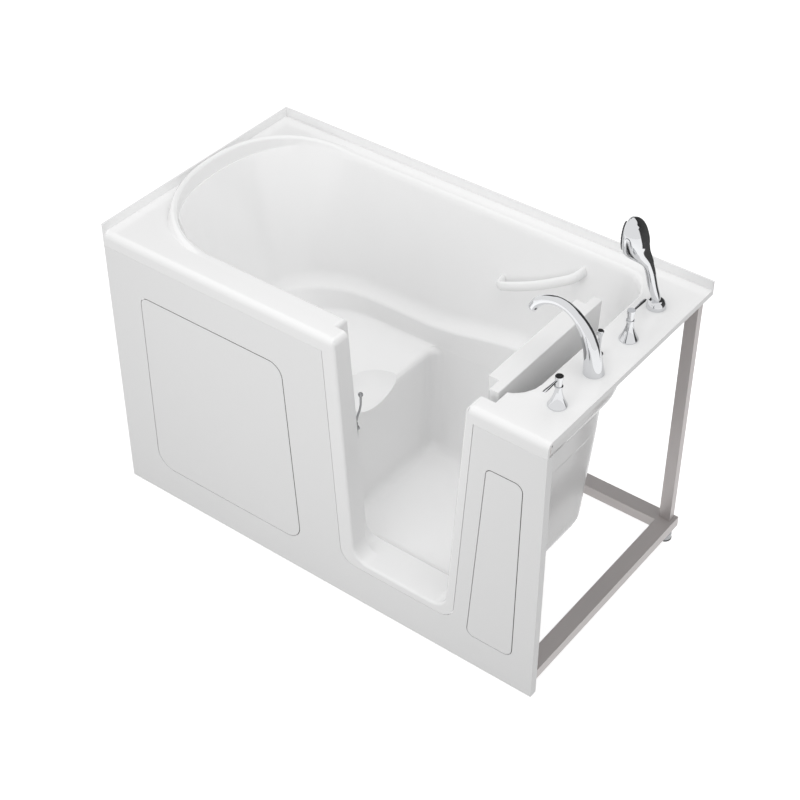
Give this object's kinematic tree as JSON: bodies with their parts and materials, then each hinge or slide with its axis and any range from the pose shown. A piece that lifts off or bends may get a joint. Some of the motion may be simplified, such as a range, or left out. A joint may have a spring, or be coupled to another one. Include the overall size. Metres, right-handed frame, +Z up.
{
  "type": "walk-in bathtub",
  "caption": "White walk-in soaking bathtub with an inward-opening side door, moulded seat, deck filler with hand shower, and a steel support frame.",
  "frame": {"origin": "centre of the footprint on the floor, at the underside of the levelling feet", "axes": "+X along the wall from the headrest to the taps, +Y from the front skirt to the wall, +Z up"},
  "size_m": [1.524, 0.813, 1.2085],
  "materials": {
    "shell_acrylic": "gloss",
    "skirt_acrylic": "satin",
    "door_acrylic": "gloss",
    "bar_plastic": "gloss",
    "seal_rubber": "matt",
    "hinge_steel": "brushed",
    "chrome": "polished",
    "face_plastic": "matt",
    "valve_brass": "satin",
    "pipe_copper": "satin",
    "pipe_plastic": "matt",
    "magnet": "matt",
    "tab_steel": "brushed",
    "frame_steel": "brushed",
    "block_wood": "matt",
    "pad_rubber": "matt"
  },
  "bodies": {
    "tub": {"tub_shell": "shell_acrylic", "front_skirt": "skirt_acrylic", "skirt_tabs": "tab_steel", "hinge_frame_leaf": "hinge_steel", "hinge_pin": "hinge_steel", "latch_bracket": "chrome", "grab_bar": "bar_plastic", "spout": "chrome", "spout_shank_nut": "valve_brass", "front_tap_body": "chrome", "back_tap_body": "chrome", "tap_valves": "valve_brass", "tap_valve_nuts": "valve_brass", "filler_pipes": "pipe_copper", "diverter_valve": "valve_brass", "shower_holder": "chrome", "shower_holder_nut": "valve_brass", "drain_flange": "chrome", "drain_body": "pipe_plastic", "overflow_plate": "chrome", "overflow_elbow": "pipe_plastic", "waste_pipe": "pipe_plastic", "front_base_rail": "frame_steel", "back_base_rail": "frame_steel", "left_base_rail": "frame_steel", "right_base_rail": "frame_steel", "middle_base_rail": "frame_steel", "front_left_post": "frame_steel", "front_right_post": "frame_steel", "back_left_post": "frame_steel", "back_right_post": "frame_steel", "top_frame": "frame_steel", "footwell_bearers": "frame_steel", "footwell_blocks": "block_wood", "foot_nuts": "frame_steel"},
    "door": {"door_panel": "door_acrylic", "door_seal": "seal_rubber", "hinge_door_leaf": "hinge_steel", "door_strike": "chrome"},
    "door_latch": {"latch_lever": "chrome", "latch_knob": "chrome"},
    "front_tap": {"front_tap_lever": "chrome"},
    "back_tap": {"back_tap_lever": "chrome"},
    "diverter": {"diverter_knob": "chrome"},
    "handset": {"hand_shower": "chrome", "shower_face": "face_plastic"},
    "overflow_control": {"overflow_knob": "chrome"},
    "stopper": {"drain_stopper": "chrome"},
    "left_panel": {"left_access_panel": "skirt_acrylic", "left_panel_magnets": "magnet"},
    "right_panel": {"right_access_panel": "skirt_acrylic", "right_panel_magnets": "magnet"},
    "levelling_feet": {"foot_cups": "chrome", "foot_pads": "pad_rubber", "foot_stems": "frame_steel"}
  },
  "joints": [
    {"name": "door_hinge", "type": "hinge", "parent": "tub", "child": "door", "pos_m": [0.551, -0.3134, 0.56], "axis": [0, 0, 1], "range_deg": [0, 90]},
    {"name": "latch_pivot", "type": "hinge", "parent": "tub", "child": "door_latch", "pos_m": [0.06, -0.2885, 0.546], "axis": [0, -1, 0], "range_deg": [0, 90]},
    {"name": "front_tap_turn", "type": "hinge", "parent": "tub", "child": "front_tap", "pos_m": [0.692, -0.2615, 1], "axis": [0, 0, -1], "range_deg": [0, 90]},
    {"name": "back_tap_turn", "type": "hinge", "parent": "tub", "child": "back_tap", "pos_m": [0.692, 0.0785, 1], "axis": [0, 0, 1], "range_deg": [0, 90]},
    {"name": "diverter_pull", "type": "slide", "parent": "tub", "child": "diverter", "axis": [0, 0, 1], "range_m": [0, 0.012]},
    {"name": "handset_lift", "type": "slide", "parent": "tub", "child": "handset", "axis": [0, 0, 1], "range_m": [0, 0.06]},
    {"name": "overflow_turn", "type": "hinge", "parent": "tub", "child": "overflow_control", "pos_m": [-0.122, -0.2965, 0.8], "axis": [0, -1, 0], "range_deg": [0, 90]},
    {"name": "stopper_lift", "type": "slide", "parent": "tub", "child": "stopper", "axis": [0, 0, 1], "range_m": [0, 0.008]},
    {"name": "left_panel_pull", "type": "slide", "parent": "tub", "child": "left_panel", "axis": [0, -1, 0], "range_m": [0, 0.04]},
    {"name": "right_panel_pull", "type": "slide", "parent": "tub", "child": "right_panel", "axis": [0, -1, 0], "range_m": [0, 0.04]},
    {"name": "feet_screw_out", "type": "slide", "parent": "tub", "child": "levelling_feet", "axis": [0, 0, -1], "range_m": [0, 0.012]}
  ],
  "couplings": [
    {"joint": "stopper_lift", "follows": "overflow_turn", "m_per_rad": 0.005093}
  ]
}
